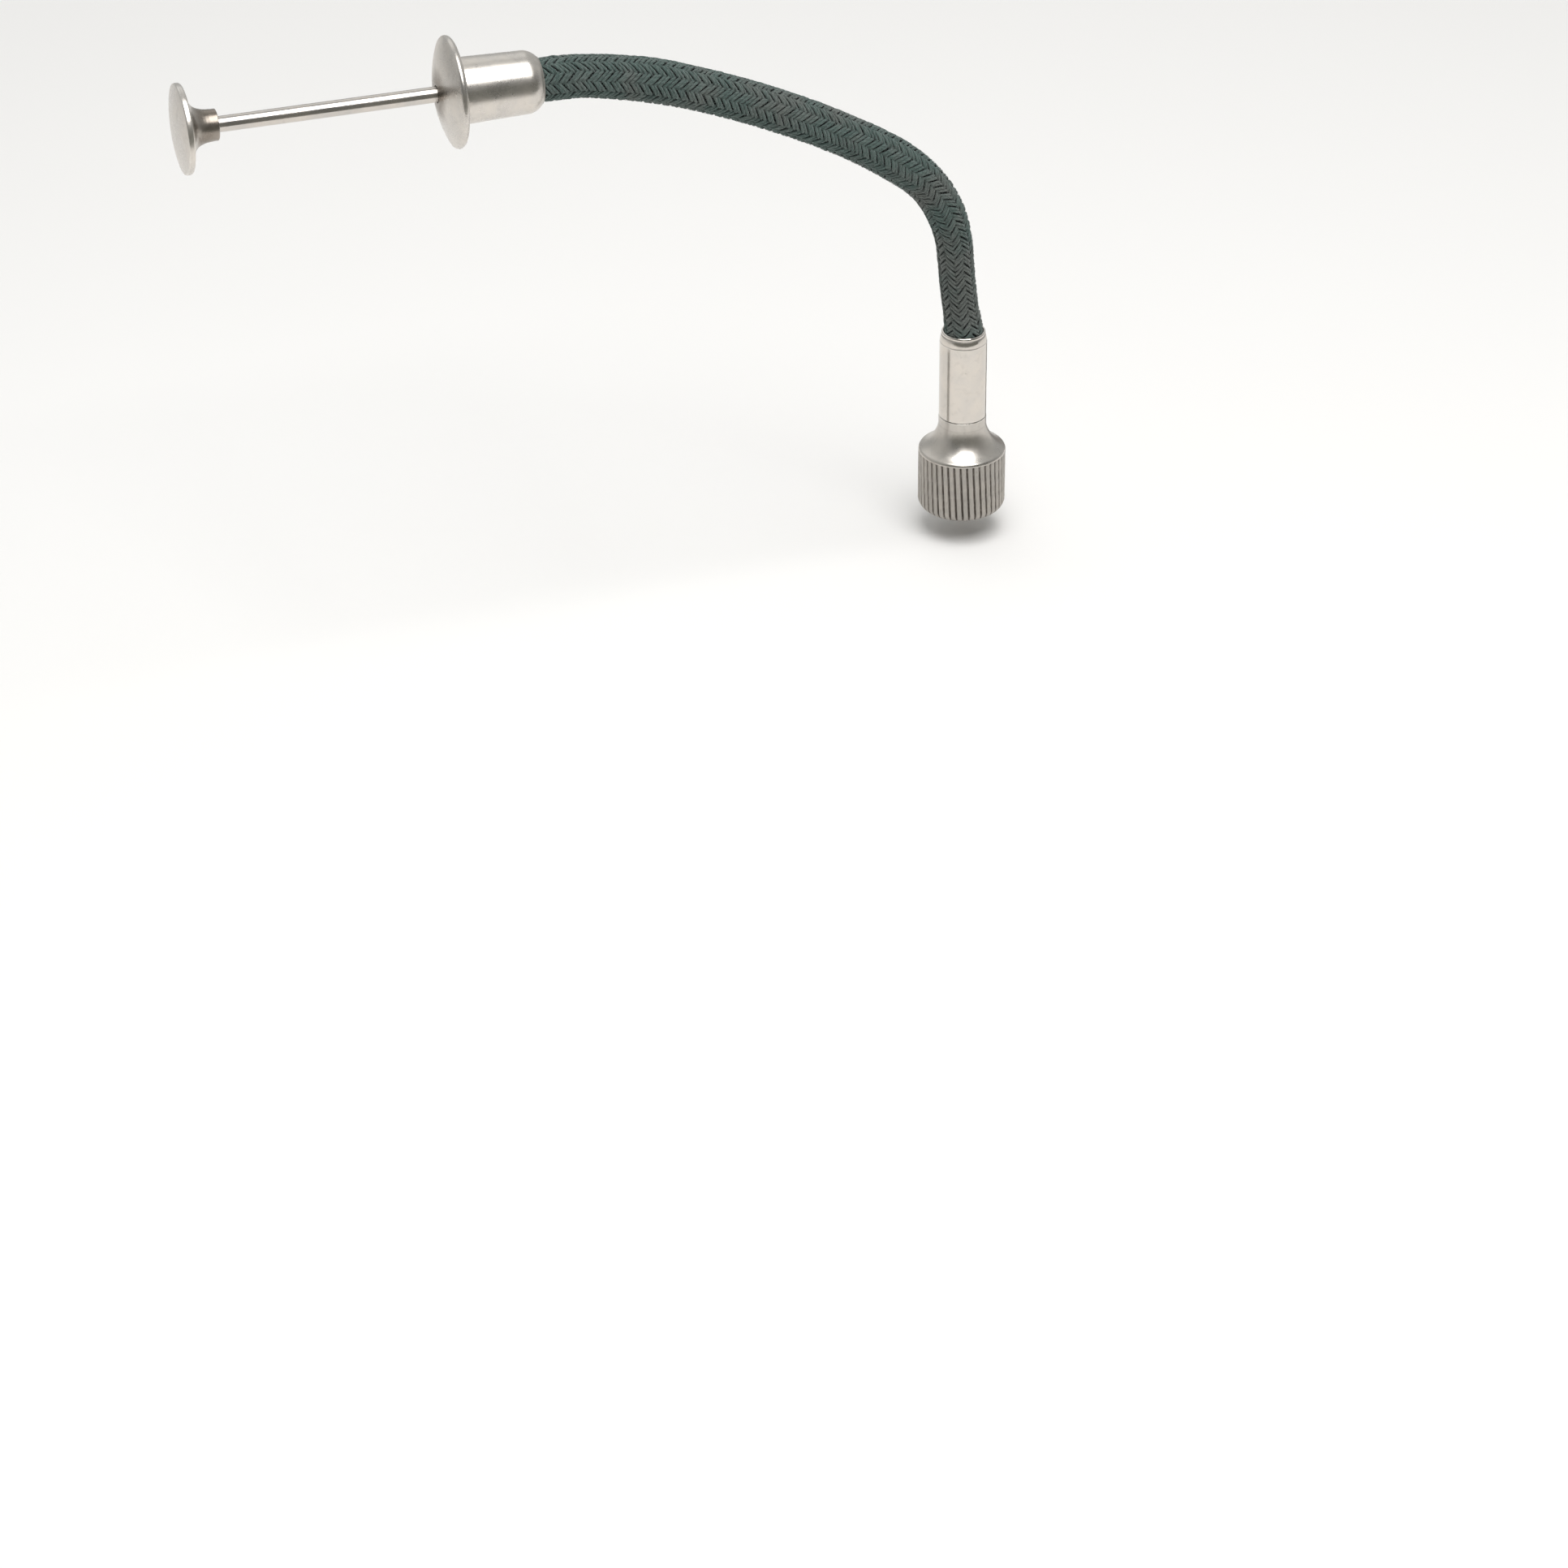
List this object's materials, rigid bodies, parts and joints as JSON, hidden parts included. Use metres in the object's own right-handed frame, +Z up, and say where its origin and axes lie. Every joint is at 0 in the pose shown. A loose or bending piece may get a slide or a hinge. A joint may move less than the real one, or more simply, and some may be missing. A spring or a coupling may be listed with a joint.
{
  "type": "cable shutter release",
  "caption": "Mechanical cable shutter release: thumb plunger, finger flange and short barrel, stiff braided cable, and a knurled bell nut that screws over a camera's release collar.",
  "frame": {"origin": "centre of the bell nut's mouth, on its axis", "axes": "+Z up along the bell nut and the end ferrule, away from the camera; the cable arches in the XZ plane and the handle lies along -X"},
  "size_m": [0.1033, 0.0134, 0.0727],
  "materials": {
    "nickel_satin": "worn satin nickel plate on brass",
    "nickel_polished": "polished nickel plate on brass, lightly pitted",
    "steel_polished": "polished steel rod",
    "brass_bare": "turned bare brass",
    "spring_steel": "drawn spring steel",
    "braid_green": "dark bottle-green cotton braid"
  },
  "bodies": {
    "bell": {"bell_nut": "nickel_satin"},
    "tip_fitting": {"end_ferrule": "nickel_polished", "swivel_stem": "nickel_polished", "stem_retaining_collar": "brass_bare", "swivel_washer": "spring_steel", "pin_guide_bush": "brass_bare", "casing_end_bush": "brass_bare", "return_spring": "spring_steel"},
    "pin": {"release_pin": "steel_polished", "tip_wire_socket": "brass_bare"},
    "handle": {"barrel_shell": "nickel_satin", "finger_flange": "nickel_satin", "rod_guide_bush": "brass_bare", "braid_clamp_ring": "brass_bare", "casing_anchor_bush": "brass_bare", "braided_sleeve": "braid_green", "casing_coil": "spring_steel", "inner_wire": "spring_steel"},
    "plunger": {"thumb_button": "nickel_satin", "plunger_rod": "steel_polished", "wire_socket": "brass_bare"}
  },
  "joints": [
    {"name": "bell_swivel", "type": "hinge", "parent": "bell", "child": "tip_fitting", "pos_m": [0, 0, 0.0127], "axis": [0, 0, 1], "continuous": true},
    {"name": "cable_flex", "type": "hinge", "parent": "tip_fitting", "child": "handle", "pos_m": [-0.005, 0, 0.044], "axis": [0, 1, 0], "range_deg": [-25, 30], "deforming": ["braided_sleeve", "casing_coil", "inner_wire"]},
    {"name": "plunger_slide", "type": "slide", "parent": "handle", "child": "plunger", "axis": [1, 0, 0], "range_m": [0, 0.008], "stiffness_N_per_m": 880},
    {"name": "pin_slide", "type": "slide", "parent": "tip_fitting", "child": "pin", "axis": [0, 0, -1], "range_m": [0, 0.008], "deforming": ["return_spring"]}
  ],
  "couplings": [
    {"joint": "pin_slide", "follows": "plunger_slide", "ratio": 1}
  ]
}
